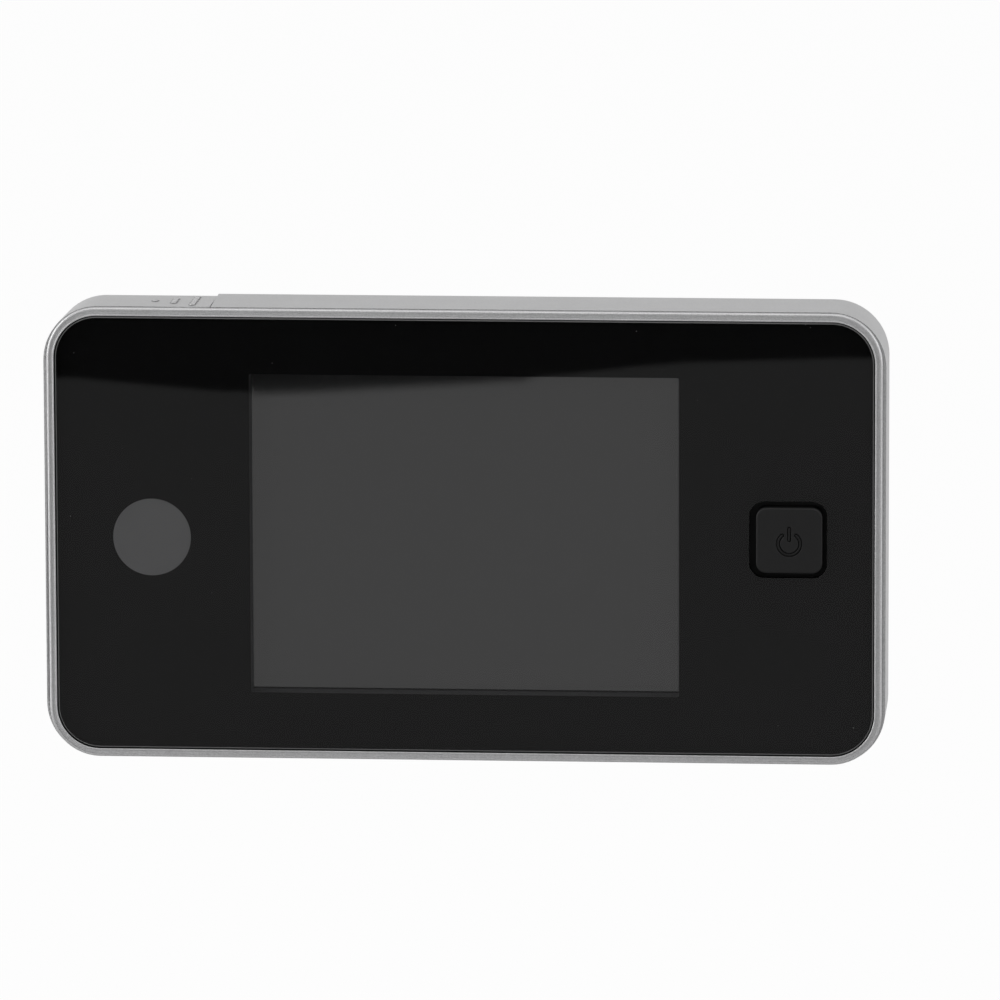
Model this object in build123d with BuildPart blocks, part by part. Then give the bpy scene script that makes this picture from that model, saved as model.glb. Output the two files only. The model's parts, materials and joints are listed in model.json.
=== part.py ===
from build123d import *
import os
from math import hypot, radians, tan

os.makedirs("parts", exist_ok=True)

# Peephole door camera, indoor unit. Millimetres. X runs to the right as seen from the
# room, Y into the door, Z up. The origin is the middle of the face that meets the door.
# A level is a height above that face, so the front of the unit is the highest level.

# Housing walls. Its width and height follow from the cells, the screen and the button
corner_radius = 8.2
rear_edge_radius = 2.0
shell_wall = 1.5
seam_gap = 0.3
fit_clearance = 0.3
edge_wall = 0.5
overrun = 1.0

# Front rim, a bead and a lip with a shallow band between them
rim_side_inset = 0.5
rim_top_inset = 0.1
rim_side_width = 1.08
rim_top_width = 1.2
rim_depth = 0.6
rim_corner_radius = 7.5
bead_width = 0.42
bead_radius = 0.34
band_depth = 0.16
lip_width = 0.2

# Front sheet, its printing and its tape
panel_recess = 0.2
panel_thickness = 1.0
panel_gap = 0.2
panel_edge_chamfer = 0.16
print_thickness = 0.1
tape_thickness = 0.15
tape_width = 2.6
floor_thickness = 1.0

# Screen window and the screen module behind it
window_width = 63.86
window_height = 48.08
window_radius = 0.3
window_offset_z = -0.11
active_inset = 0.22
frame_window_margin = 1.2
gasket_thickness = 1.2
module_depth = 2.5
module_edge = 2.57
module_ledge = 8.27
module_brim = 3.46
module_gap = 1.5
module_skin = 0.25
glass_thickness = 1.1
polariser_thickness = 0.2
module_fit = 0.1
module_tape_thickness = 0.55
module_tape_width = 8.0
module_tape_inset = 12.0

# Grey disc in the printing
badge_diameter = 11.6
badge_from_side = 15.92
badge_offset_z = -0.76

# Power button and its switch
button_hole = 11.5
button_hole_radius = 2.2
button_size = 9.8
button_radius = 1.25
button_offset_x = 0.16
button_offset_z = -0.1
button_proud = 0.1
button_edge_radius = 0.4
button_wall = 1.2
button_travel = 0.5
button_float = 0.2
flange_reach = 1.3
flange_thickness = 0.8
floor_hole_margin = 0.2
collar_fit = 0.2
collar_wall = 0.8
collar_margin = 0.1
collar_module_gap = 0.73
collar_from_side = 7.22
stem_diameter = 3.0
switch_size = 4.5
switch_height = 1.8
plunger_diameter = 2.0
plunger_height = 0.7
plunger_fit = 0.05
plunger_root = 0.5
plunger_floor = 0.3

# Battery bay, for two AAA cells that stand side by side
cell_diameter = 10.5
cell_length = 44.5
cell_nub_diameter = 3.8
cell_nub_height = 0.9
cell_edge = 0.4
cell_clearance = 0.275
cell_pair_gap = 0.5
draft_allowance = 0.3
bay_side_gap = 1.1
spring_room = 3.5
spring_wire = 0.5
spring_top_radius = 1.4
spring_base_radius = 2.6
spring_turns = 3
spring_sides = 8
spring_seat = 0.02
spring_samples_per_turn = 24
contact_thickness = 0.4
contact_width = 8.6
contact_height = 8.0
lead_width = 2.0
lead_thickness = 0.4
lead_gap = 0.2
high_lead_width = 1.0
lead_drop_from_end = 4.0
bay_end_wall = 1.2
saddle_thickness = 1.2
saddle_depth = 4.0
saddle_fit = 0.2

# Battery cover, which slides off to the left
cover_draft = 1.7
cover_straight = 1.3
cover_seam = 0.15
cover_front_gap = 0.5
rail_wall = 1.0
rail_flange = 1.4
rail_thickness = 1.0
rail_gap = 0.3
runner_thickness = 0.8
runner_end_gap = 2.0

# Grip pips, in rows of one, three and five
pip_length = 1.6
pip_width = 1.0
pip_corner = 0.3
pip_height = 0.22
pip_root = 0.1
pip_flank_angle = 35.0
pip_row_pitch = 2.95
pip_pitch = 1.95
pip_from_seam = 2.77
pip_depth_from_front = 6.9
pip_rows = (5, 3, 1)

# Bracket recess, hook slots and cable opening in the back
recess_width = 56.0
recess_height = 40.0
recess_depth = 2.2
recess_radius = 3.0
recess_wall = 1.4
hook_spacing_x = 40.0
hook_spacing_z = 24.0
hook_slot_length = 8.0
hook_slot_width = 2.6
cable_opening_width = 18.0
cable_opening_height = 9.0
cable_opening_radius = 1.5
cable_opening_offset_z = -2.5

# Main board and what stands on it
board_thickness = 1.0
board_margin = 1.2
board_left_gap = 0.2
board_corner_radius = 4.0
post_board_gap = 0.4
processor_size = 10.0
processor_height = 1.2
memory_length = 8.0
memory_width = 6.0
memory_height = 1.0
crystal_length = 5.0
crystal_width = 3.2
crystal_height = 1.1
chip_edge = 0.15
processor_place_shares = (0.19, 0.1)
memory_place_shares = (0.32, 0.1)
crystal_place_shares = (0.19, -0.1)
inductor_size = 6.0
inductor_height = 2.6
inductor_core_diameter = 4.2
inductor_place_shares = (-0.17, 0.16)
capacitor_diameter = 4.0
capacitor_height = 3.0
capacitor_pitch = 6.5
capacitor_count = 3
capacitor_place_shares = (-0.19, -0.14)
socket_length = 14.0
socket_width = 5.0
socket_height = 2.0
socket_slot_length = 11.0
socket_slot_height = 0.5
socket_slot_depth = 3.2
screen_socket_length = 19.0
screen_socket_width = 4.0
screen_socket_height = 1.2
screen_socket_gap = 3.0
ribbon_width = 17.0
ribbon_thickness = 0.2
ribbon_tuck = 1.6
ribbon_fit = 0.1
ribbon_bend_radius = 0.3
ribbon_bend_share = 0.25
ribbon_offset_z = -17.5

# Screws, their posts and bosses
case_screw_inset_z = 4.2
case_screw_inset_left = 4.4
case_screw_inset_right = 6.6
case_screw_corner_drop = 4.6
screw_head_diameter = 3.6
screw_head_height = 1.3
screw_head_sink = 0.3
screw_shank_diameter = 1.8
screw_length = 8.0
screw_fit = 0.03
screw_hole_clearance = 0.2
pilot_spare = 0.4
screw_head_edge = 0.3
boss_diameter = 5.6
post_diameter = 4.0
post_module_gap = 0.3
boss_height = 5.0
board_screw_shares_x = (-0.12, 0.28)
board_screw_length = 4.5
tongue_wall = 1.0
tongue_depth = 1.5

# Levels, worked out from the back to the front
cell_level = shell_wall + cell_clearance + cell_diameter / 2
floor_back = cell_level + cell_diameter / 2 + cell_clearance
floor_front = floor_back + floor_thickness
print_back = floor_front + tape_thickness
panel_back = print_back + print_thickness
panel_front = panel_back + panel_thickness
unit_depth = panel_front + panel_recess
rim_back = unit_depth - rim_depth
shell_front = rim_back - seam_gap
module_front = floor_back - gasket_thickness
module_back = module_front - module_depth
board_front = module_back - module_tape_thickness
board_back = board_front - board_thickness
recess_inside = recess_depth + recess_wall

# Outlines, worked out from the cells, the screen module and the button
bay_width = shell_wall + draft_allowance + 2 * (cell_clearance + cell_diameter) + cell_pair_gap + bay_side_gap
module_width = module_edge + window_width + module_ledge
module_height = window_height + 2 * module_brim
flange_size = button_size + 2 * flange_reach
collar_inside = flange_size + 2 * collar_fit
collar_outside = collar_inside + 2 * collar_wall
middle_width = shell_wall + module_gap + module_width + collar_module_gap
unit_width = bay_width + middle_width + collar_outside + collar_from_side
unit_height = module_height + 2 * (case_screw_inset_z + post_diameter / 2 + post_module_gap)
gasket_width = module_edge - frame_window_margin
rim_outer_width = unit_width - 2 * rim_side_inset
rim_outer_height = unit_height - 2 * rim_top_inset
opening_width = rim_outer_width - 2 * rim_side_width
opening_height = rim_outer_height - 2 * rim_top_width
opening_radius = rim_corner_radius - rim_side_width
panel_width = opening_width - 2 * panel_gap
panel_height = opening_height - 2 * panel_gap
panel_radius = opening_radius - panel_gap
inside_width = unit_width - 2 * shell_wall
inside_height = unit_height - 2 * shell_wall
inside_radius = corner_radius - shell_wall
floor_width = inside_width - 2 * fit_clearance
floor_height = inside_height - 2 * fit_clearance
floor_radius = inside_radius - fit_clearance
rebate_width = unit_width - 2 * edge_wall
rebate_height = unit_height - 2 * edge_wall
rebate_radius = corner_radius - edge_wall
rebate_back = floor_back - fit_clearance

# Places along X, from the left end
left_side = -unit_width / 2
right_side = unit_width / 2
cell_one_x = left_side + shell_wall + draft_allowance + cell_clearance + cell_diameter / 2
cell_two_x = cell_one_x + cell_diameter + cell_pair_gap
seam_x = left_side + bay_width
cells_x = (cell_one_x + cell_two_x) / 2
contact_z = (cell_length + spring_room) / 2
bay_end_z = contact_z + contact_thickness
badge_x = left_side + badge_from_side
button_x = right_side - collar_from_side - collar_outside / 2
module_left = seam_x + shell_wall + module_gap
module_right = module_left + module_width
module_x = (module_left + module_right) / 2
window_x = module_left + module_edge + window_width / 2
board_left = seam_x + shell_wall + board_left_gap
board_right = inside_width / 2 - board_margin
board_half_height = inside_height / 2 - board_margin
shell_screw_left_x = seam_x + case_screw_inset_left
shell_screw_right_x = right_side - case_screw_inset_right
shell_screw_z = unit_height / 2 - case_screw_inset_z
shell_screw_low_z = shell_screw_z - case_screw_corner_drop
screw_seat = screw_head_sink + screw_head_height
case_pilot_depth = screw_seat + screw_length + pilot_spare - boss_height
board_pilot_depth = board_screw_length - board_thickness + pilot_spare
collar_depth = button_float + flange_thickness + button_travel + collar_margin
plunger_socket = plunger_root + button_travel + plunger_floor
floor_hole = button_hole + 2 * floor_hole_margin
active_width = window_width - 2 * active_inset
active_height = window_height - 2 * active_inset
frame_window_width = window_width + 2 * frame_window_margin
frame_window_height = window_height + 2 * frame_window_margin
low_lead_top = cell_level + contact_height / 2
lead_notch_depth = rebate_back - low_lead_top + lead_width + fit_clearance
case_screw_places = [
    (shell_screw_left_x, shell_screw_z),
    (shell_screw_left_x, -shell_screw_z),
    (shell_screw_right_x, shell_screw_low_z),
    (shell_screw_right_x, -shell_screw_low_z),
]
board_screw_places = [
    (share * unit_width, side * shell_screw_z) for share in board_screw_shares_x for side in (-1, 1)
]
print("width", round(unit_width, 2), "height", round(unit_height, 2), "depth", round(unit_depth, 2), "mm")


def level(height):
    """The plane at a height above the door face, facing the room."""
    return Plane.XZ.offset(height)


def towards_door(height):
    """The plane at a height above the door face, facing the door."""
    return Plane(origin=(0, -height, 0), x_dir=(-1, 0, 0), z_dir=(0, 1, 0))


def standing(x, side):
    """The plane across a cell's axis, facing up or down."""
    return Plane(origin=(x, -cell_level, 0), x_dir=(1, 0, 0), z_dir=(0, 0, side))


def cover_half_height(height):
    """Half the cover's height at a level, drawn in by its draft."""
    return unit_height / 2 - tan(radians(cover_draft)) * max(draft_level - height, 0)


def spring_line(plane):
    """Half circles that narrow and climb. Each ends square to the one chord line, so they run on."""
    halves = 2 * spring_turns
    climb = spring_room - spring_wire - 2 * spring_seat
    start = spring_seat + spring_wire / 2 - contact_z
    narrowing = spring_base_radius - spring_top_radius
    points = [
        ((-1) ** k * (spring_base_radius - narrowing * k / halves), start + climb * k / halves)
        for k in range(halves + 1)
    ]
    with BuildLine(plane) as line:
        for k in range(halves):
            (x1, z1), (x2, z2) = points[k], points[k + 1]
            swing = (-1) ** k * hypot(x2 - x1, z2 - z1) / 2
            ThreePointArc((x1, 0, z1), ((x1 + x2) / 2, swing, (z1 + z2) / 2), (x2, 0, z2))
    return line.wire()


def least_gap(line):
    """The smallest clear distance between stretches of the wire over half a turn apart."""
    count = spring_samples_per_turn * spring_turns
    apart = spring_samples_per_turn * 3 // 4
    points = [line.position_at(k / count) for k in range(count + 1)]
    pairs = [(i, j) for i in range(count + 1) for j in range(i + apart, count + 1)]
    return min((points[i] - points[j]).length for i, j in pairs) - spring_wire


def finish(part, name):
    """Labels one piece and writes it."""
    part.label = name
    export_step(part, f"parts/{name}.step")


# Front frame: rim, floor behind the sheet, button collar, battery bay, posts and rails
rail_z = inside_height / 2 - fit_clearance - rail_flange
rail_left_x = left_side + corner_radius
rail_length = cell_two_x + cell_diameter / 2 - rail_left_x
runner_level = floor_back - cover_front_gap - runner_thickness
rail_level = runner_level - rail_gap - rail_thickness
bay_depth = floor_back - shell_wall - 2 * cell_clearance
draft_level = shell_front - cover_straight

with BuildPart() as front_frame:
    with BuildSketch(level(rim_back)):
        RectangleRounded(rim_outer_width, rim_outer_height, rim_corner_radius)
    extrude(amount=rim_depth)
    fillet(front_frame.faces().sort_by(Axis.Y)[0].edges(), bead_radius)
    with BuildSketch(level(floor_front)):
        RectangleRounded(
            rebate_width - 2 * fit_clearance,
            rebate_height - 2 * fit_clearance,
            rebate_radius - fit_clearance,
        )
    extrude(amount=rim_back - floor_front)
    with BuildSketch(level(floor_front)):
        RectangleRounded(opening_width, opening_height, opening_radius)
    extrude(amount=unit_depth - floor_front, mode=Mode.SUBTRACT)
    with BuildSketch(level(unit_depth - band_depth)):
        RectangleRounded(
            rim_outer_width - 2 * bead_width,
            rim_outer_height - 2 * bead_width,
            rim_corner_radius - bead_width,
        )
        RectangleRounded(
            opening_width + 2 * lip_width,
            opening_height + 2 * lip_width,
            opening_radius + lip_width,
            mode=Mode.SUBTRACT,
        )
    extrude(amount=band_depth, mode=Mode.SUBTRACT)
    with BuildSketch(level(floor_back)):
        RectangleRounded(
            rebate_width - 2 * fit_clearance,
            rebate_height - 2 * fit_clearance,
            rebate_radius - fit_clearance,
        )
    extrude(amount=floor_thickness)

    # Tongue that locates the back housing, on the screen's side of the seam
    with BuildSketch(level(floor_back)):
        RectangleRounded(floor_width, floor_height, floor_radius)
        RectangleRounded(
            floor_width - 2 * tongue_wall,
            floor_height - 2 * tongue_wall,
            floor_radius - tongue_wall,
            mode=Mode.SUBTRACT,
        )
        with Locations((seam_x + shell_wall + fit_clearance, 0)):
            Rectangle(unit_width, unit_height, align=(Align.MIN, Align.CENTER), mode=Mode.INTERSECT)
    extrude(amount=-tongue_depth)

    # Walls at the two ends of the cells
    with BuildSketch(level(floor_back)):
        with Locations((cells_x, bay_end_z + bay_end_wall / 2), (cells_x, -bay_end_z - bay_end_wall / 2)):
            Rectangle(cell_diameter + cell_pair_gap + contact_width, bay_end_wall)
    extrude(amount=-bay_depth)

    # Saddles that the cells lie in
    for saddle_z in (-cell_length / 4, 0, cell_length / 4):
        with BuildSketch(Plane.XY.offset(saddle_z - saddle_thickness / 2)):
            with Locations((cells_x, -floor_back)):
                Rectangle(2 * cell_diameter, saddle_depth, align=(Align.CENTER, Align.MIN))
            with Locations((cell_one_x, -cell_level), (cell_two_x, -cell_level)):
                Circle(cell_diameter / 2 + saddle_fit, mode=Mode.SUBTRACT)
        extrude(amount=saddle_thickness)

    # Rails that the cover's runners slide behind
    for side in (-1, 1):
        with BuildSketch(level(rail_level)):
            with Locations((rail_left_x, side * (rail_z - rail_wall / 2))):
                Rectangle(rail_length, rail_wall, align=(Align.MIN, Align.CENTER))
        extrude(amount=floor_back - rail_level)
        with BuildSketch(level(rail_level)):
            with Locations((rail_left_x, side * (rail_z + rail_flange / 2))):
                Rectangle(rail_length, rail_flange, align=(Align.MIN, Align.CENTER))
        extrude(amount=rail_thickness)

    # Screw posts
    with BuildSketch(level(boss_height)):
        with Locations(*case_screw_places):
            Circle(post_diameter / 2)
    extrude(amount=floor_back - boss_height)
    with BuildSketch(level(board_front)):
        with Locations(*board_screw_places):
            Circle(post_diameter / 2)
    extrude(amount=floor_back - board_front)
    with BuildSketch(level(boss_height)):
        with Locations(*case_screw_places):
            Circle(screw_shank_diameter / 2 + screw_fit)
    extrude(amount=case_pilot_depth, mode=Mode.SUBTRACT)
    with BuildSketch(level(board_front)):
        with Locations(*board_screw_places):
            Circle(screw_shank_diameter / 2 + screw_fit)
    extrude(amount=board_pilot_depth, mode=Mode.SUBTRACT)

    # Collar that guides the button's flange
    with BuildSketch(level(floor_back)):
        with Locations((button_x, 0)):
            RectangleRounded(collar_outside, collar_outside, button_radius + collar_wall)
            RectangleRounded(collar_inside, collar_inside, button_radius, mode=Mode.SUBTRACT)
    extrude(amount=-collar_depth)

    # Window for the screen, and the hole for the button
    with BuildSketch(level(floor_back)):
        with Locations((window_x, window_offset_z)):
            RectangleRounded(frame_window_width, frame_window_height, window_radius + frame_window_margin)
        with Locations((button_x, 0)):
            RectangleRounded(floor_hole, floor_hole, button_hole_radius)
    extrude(amount=floor_thickness, mode=Mode.SUBTRACT)
finish(front_frame.part, "front_frame")

# Front sheet: clear acrylic, with a hole for the button
with BuildPart() as front_panel:
    with BuildSketch(level(panel_back)):
        RectangleRounded(panel_width, panel_height, panel_radius)
        with Locations((button_x, 0)):
            RectangleRounded(button_hole, button_hole, button_hole_radius, mode=Mode.SUBTRACT)
    extrude(amount=panel_thickness)
    chamfer(front_panel.faces().sort_by(Axis.Y)[0].outer_wire().edges(), panel_edge_chamfer)
finish(front_panel.part, "front_panel")

# Black printing on the back of the sheet, open at the screen, the button and the disc
with BuildPart() as panel_print:
    with BuildSketch(level(print_back)):
        RectangleRounded(panel_width, panel_height, panel_radius)
        with Locations((window_x, window_offset_z)):
            RectangleRounded(window_width, window_height, window_radius, mode=Mode.SUBTRACT)
        with Locations((button_x, 0)):
            RectangleRounded(button_hole, button_hole, button_hole_radius, mode=Mode.SUBTRACT)
        with Locations((badge_x, badge_offset_z)):
            Circle(badge_diameter / 2, mode=Mode.SUBTRACT)
    extrude(amount=print_thickness)
finish(panel_print.part, "panel_print")

# Plain grey disc, printed where the black leaves a round opening
with BuildPart() as badge_disc:
    with BuildSketch(level(print_back)):
        with Locations((badge_x, badge_offset_z)):
            Circle(badge_diameter / 2)
    extrude(amount=print_thickness)
finish(badge_disc.part, "badge_disc")

# Adhesive frame under the sheet
with BuildPart() as panel_tape:
    with BuildSketch(level(floor_front)):
        RectangleRounded(panel_width, panel_height, panel_radius)
        RectangleRounded(
            panel_width - 2 * tape_width,
            panel_height - 2 * tape_width,
            panel_radius - tape_width,
            mode=Mode.SUBTRACT,
        )
    extrude(amount=tape_thickness)
finish(panel_tape.part, "panel_tape")

# Power button: a hollow cap with a flange that stops behind the frame, and a stem
flange_front = floor_back - button_float
flange_back = flange_front - flange_thickness
plunger_top = board_front + switch_height + plunger_height
cap_front = unit_depth + button_proud

with BuildPart() as power_button:
    with BuildSketch(level(flange_back)):
        with Locations((button_x + button_offset_x, button_offset_z)):
            RectangleRounded(button_size, button_size, button_radius)
    extrude(amount=cap_front - flange_back)
    fillet(power_button.faces().sort_by(Axis.Y)[0].edges(), button_edge_radius)
    with BuildSketch(level(flange_back)):
        with Locations((button_x, 0)):
            RectangleRounded(flange_size, flange_size, button_radius)
    extrude(amount=flange_thickness)
    with BuildSketch(level(flange_back)):
        with Locations((button_x + button_offset_x, button_offset_z)):
            Rectangle(button_size - 2 * button_wall, button_size - 2 * button_wall)
    extrude(amount=cap_front - flange_back - button_wall, mode=Mode.SUBTRACT)
    with BuildSketch(level(plunger_top)):
        with Locations((button_x, 0)):
            Circle(stem_diameter / 2)
    extrude(amount=cap_front - button_wall - plunger_top)
finish(power_button.part, "power_button")

# Switch on the board: a body with a plunger that the stem presses
with BuildPart() as power_switch:
    with BuildSketch(level(board_front)):
        with Locations((button_x, 0)):
            Rectangle(switch_size, switch_size)
    extrude(amount=switch_height)
    with BuildSketch(level(board_front + switch_height)):
        with Locations((button_x, 0)):
            Circle(plunger_diameter / 2 + plunger_fit)
    extrude(amount=-plunger_socket, mode=Mode.SUBTRACT)
finish(power_switch.part, "power_switch")

with BuildPart() as switch_plunger:
    with BuildSketch(level(plunger_top)):
        with Locations((button_x, 0)):
            Circle(plunger_diameter / 2)
    extrude(amount=-plunger_height - plunger_root)
finish(switch_plunger.part, "switch_plunger")

# Back housing, from the seam to the right end
with BuildPart() as rear_shell:
    with BuildSketch(level(0)):
        RectangleRounded(unit_width, unit_height, corner_radius)
    extrude(amount=shell_front)
    split(bisect_by=Plane.YZ.offset(seam_x), keep=Keep.TOP)
    fillet(rear_shell.faces().sort_by(Axis.Y)[-1].edges(), rear_edge_radius)
    with BuildSketch(level(shell_wall)):
        RectangleRounded(inside_width, inside_height, inside_radius)
        with Locations((seam_x + shell_wall, 0)):
            Rectangle(unit_width, unit_height, align=(Align.MIN, Align.CENTER), mode=Mode.INTERSECT)
    extrude(amount=shell_front - shell_wall, mode=Mode.SUBTRACT)
    with BuildSketch(level(rebate_back)):
        RectangleRounded(rebate_width, rebate_height, rebate_radius)
    extrude(amount=shell_front - rebate_back, mode=Mode.SUBTRACT)

    # Recess for the door bracket, with its hook slots and the cable opening
    with BuildSketch(level(shell_wall)):
        RectangleRounded(
            recess_width + 2 * recess_wall,
            recess_height + 2 * recess_wall,
            recess_radius + recess_wall,
        )
    extrude(amount=recess_inside - shell_wall)
    with BuildSketch(level(0)):
        RectangleRounded(recess_width, recess_height, recess_radius)
    extrude(amount=recess_depth, mode=Mode.SUBTRACT)
    with BuildSketch(level(recess_depth)):
        with GridLocations(hook_spacing_x, hook_spacing_z, 2, 2):
            SlotOverall(hook_slot_length, hook_slot_width)
        with Locations((0, cable_opening_offset_z)):
            RectangleRounded(cable_opening_width, cable_opening_height, cable_opening_radius)
    extrude(amount=recess_wall, mode=Mode.SUBTRACT)

    # Screw bosses, with the heads sunk in the back
    with BuildSketch(level(shell_wall)):
        with Locations(*case_screw_places):
            Circle(boss_diameter / 2)
        RectangleRounded(inside_width, inside_height, inside_radius, mode=Mode.INTERSECT)
    extrude(amount=boss_height - shell_wall)
    with BuildSketch(level(0)):
        with Locations(*case_screw_places):
            Circle(screw_head_diameter / 2 + screw_hole_clearance)
    extrude(amount=screw_seat, mode=Mode.SUBTRACT)
    with BuildSketch(level(screw_seat)):
        with Locations(*case_screw_places):
            Circle(screw_shank_diameter / 2 + screw_hole_clearance)
    extrude(amount=boss_height - screw_seat, mode=Mode.SUBTRACT)

    # Notches that the battery leads pass through
    with BuildSketch(level(rebate_back)):
        with Locations((seam_x + shell_wall / 2, contact_z + contact_thickness / 2)):
            Rectangle(shell_wall + overrun, contact_thickness + 2 * fit_clearance)
    extrude(amount=-lead_notch_depth, mode=Mode.SUBTRACT)
finish(rear_shell.part, "rear_shell")

# Battery cover: the left end of the housing, drawn in a little towards the door
cover_right_x = seam_x - cover_seam
pip_places = [
    (cover_right_x - pip_from_seam - row * pip_row_pitch, unit_depth - pip_depth_from_front + step)
    for row, count in enumerate(pip_rows)
    for step in [pip_pitch * (k - (count - 1) / 2) for k in range(count)]
]

with BuildPart() as battery_cover:
    with BuildSketch(level(draft_level)):
        RectangleRounded(unit_width, unit_height, corner_radius)
    extrude(amount=cover_straight)
    with BuildSketch(towards_door(draft_level)):
        RectangleRounded(unit_width, unit_height, corner_radius)
    extrude(amount=draft_level, taper=cover_draft)
    split(bisect_by=Plane.YZ.offset(cover_right_x), keep=Keep.BOTTOM)
    fillet(
        battery_cover.faces().sort_by(Axis.Y)[-1].edges().sort_by(Axis.X)[:-1],
        rear_edge_radius,
    )
    with BuildSketch(towards_door(shell_front)):
        RectangleRounded(inside_width, inside_height, inside_radius)
    extrude(amount=cover_straight, mode=Mode.SUBTRACT)
    with BuildSketch(towards_door(draft_level)):
        RectangleRounded(inside_width, inside_height, inside_radius)
    extrude(amount=draft_level - shell_wall, taper=cover_draft, mode=Mode.SUBTRACT)
    with BuildSketch(level(rebate_back)):
        RectangleRounded(rebate_width, rebate_height, rebate_radius)
    extrude(amount=shell_front - rebate_back, mode=Mode.SUBTRACT)

    # Runners inside the top and bottom walls
    with BuildSketch(level(runner_level)):
        RectangleRounded(inside_width + shell_wall, inside_height + shell_wall, inside_radius)
        Rectangle(inside_width, 2 * (rail_z + fit_clearance), mode=Mode.SUBTRACT)
        with Locations((cells_x, 0)):
            Rectangle(2 * cell_diameter - 2 * runner_end_gap, unit_height, mode=Mode.INTERSECT)
    extrude(amount=runner_thickness)

    # Grip pips on the top and bottom, in rows that point the way the cover slides
    for side in (-1, 1):
        for pip_x, pip_level in pip_places:
            seat = side * (cover_half_height(pip_level) - pip_root)
            pip_plane = Plane(origin=(pip_x, -pip_level, seat), x_dir=(1, 0, 0), z_dir=(0, 0, side))
            with BuildSketch(pip_plane) as pip:
                Rectangle(pip_width, pip_length)
                chamfer(pip.vertices(), pip_corner)
            extrude(amount=pip_root + pip_height, taper=pip_flank_angle)
finish(battery_cover.part, "battery_cover")

# Two AAA cells, standing the opposite way up
with BuildPart() as battery_cells:
    for cell_x, side in ((cell_one_x, 1), (cell_two_x, -1)):
        with BuildSketch(standing(cell_x, side).offset(spring_room - contact_z)):
            Circle(cell_diameter / 2)
        extrude(amount=cell_length - cell_nub_height)
        with BuildSketch(standing(cell_x, side).offset(contact_z - cell_nub_height)):
            Circle(cell_nub_diameter / 2)
        extrude(amount=cell_nub_height)
    rims = battery_cells.edges().filter_by(GeomType.CIRCLE)
    chamfer(rims.filter_by(lambda edge: edge.radius > cell_nub_diameter), cell_edge)
finish(battery_cells.part, "battery_cells")

# Springs at the cells' flat ends: each half turn is a half circle that climbs, in eight-sided wire
with BuildPart() as battery_springs:
    for cell_x, side in ((cell_one_x, 1), (cell_two_x, -1)):
        coil = spring_line(standing(cell_x, side))
        with BuildSketch(Plane(origin=coil.position_at(0), x_dir=(1, 0, 0), z_dir=coil.tangent_at(0))):
            RegularPolygon(spring_wire / 2, spring_sides, rotation=180 / spring_sides)
        sweep(path=coil)
finish(battery_springs.part, "battery_springs")
print("battery spring, least gap to itself", round(least_gap(coil), 2), "mm")

# Contact plates at the ends of the bay, one bridging the two cells at the bottom
with BuildPart() as battery_contacts:
    for plate_x in (cell_one_x, cell_two_x):
        with BuildSketch(Plane.XY.offset(contact_z)):
            with Locations((plate_x, -cell_level)):
                Rectangle(contact_width, contact_height)
        extrude(amount=contact_thickness)
    with BuildSketch(Plane.XY.offset(-contact_z)):
        with Locations((cells_x, -cell_level)):
            Rectangle(cell_two_x - cell_one_x + contact_width, contact_height)
    extrude(amount=-contact_thickness)
finish(battery_contacts.part, "battery_contacts")

# Stamped leads from the two upper plates to the board
high_lead_back = low_lead_top + lead_gap
lead_end_x = seam_x + shell_wall + fit_clearance + lead_thickness

with BuildPart() as battery_leads:
    with BuildSketch(Plane.XY.offset(contact_z)):
        with Locations((cell_two_x + contact_width / 2, -low_lead_top)):
            Rectangle(
                lead_end_x - cell_two_x - contact_width / 2, lead_width, align=(Align.MIN, Align.MIN)
            )
        with Locations((lead_end_x, -low_lead_top)):
            Rectangle(lead_thickness, low_lead_top - board_front, align=(Align.MAX, Align.MIN))
        with Locations((cell_one_x, -high_lead_back)):
            Rectangle(lead_end_x - cell_one_x, high_lead_width, align=(Align.MIN, Align.MAX))
        with Locations((cell_one_x, -high_lead_back)):
            Rectangle(high_lead_width, lead_gap, align=(Align.MIN, Align.MIN))
    extrude(amount=contact_thickness)
    with BuildSketch(Plane.YZ.offset(lead_end_x)):
        with Locations((-high_lead_back, contact_z + contact_thickness)):
            Rectangle(high_lead_width, lead_drop_from_end, align=(Align.MAX, Align.MAX))
        with Locations((-board_front, contact_z + contact_thickness - lead_drop_from_end)):
            Rectangle(
                high_lead_back + high_lead_width - board_front, lead_width, align=(Align.MAX, Align.MIN)
            )
    extrude(amount=-lead_thickness)
finish(battery_leads.part, "battery_leads")

# Foam gasket between the frame and the screen module
with BuildPart() as screen_gasket:
    with BuildSketch(level(module_front)):
        with Locations((window_x, window_offset_z)):
            Rectangle(frame_window_width + 2 * gasket_width, frame_window_height + 2 * gasket_width)
            Rectangle(frame_window_width, frame_window_height, mode=Mode.SUBTRACT)
    extrude(amount=gasket_thickness)
finish(screen_gasket.part, "screen_gasket")

# Screen module: a pressed tray, the backlight in it, the glass and its polariser
with BuildPart() as screen_tray:
    with BuildSketch(level(module_back)):
        with Locations((module_x, window_offset_z)):
            Rectangle(module_width, module_height)
    extrude(amount=module_depth)
    with BuildSketch(level(module_back + module_skin)):
        with Locations((module_x, window_offset_z)):
            Rectangle(module_width - 2 * module_skin, module_height - 2 * module_skin)
    extrude(amount=module_depth, mode=Mode.SUBTRACT)
finish(screen_tray.part, "screen_tray")

inner_width = module_width - 2 * (module_skin + module_fit)
inner_height = module_height - 2 * (module_skin + module_fit)

with BuildPart() as screen_backlight:
    with BuildSketch(level(module_back + module_skin)):
        with Locations((module_x, window_offset_z)):
            Rectangle(inner_width, inner_height)
    extrude(amount=module_depth - module_skin - glass_thickness)
finish(screen_backlight.part, "screen_backlight")

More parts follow.
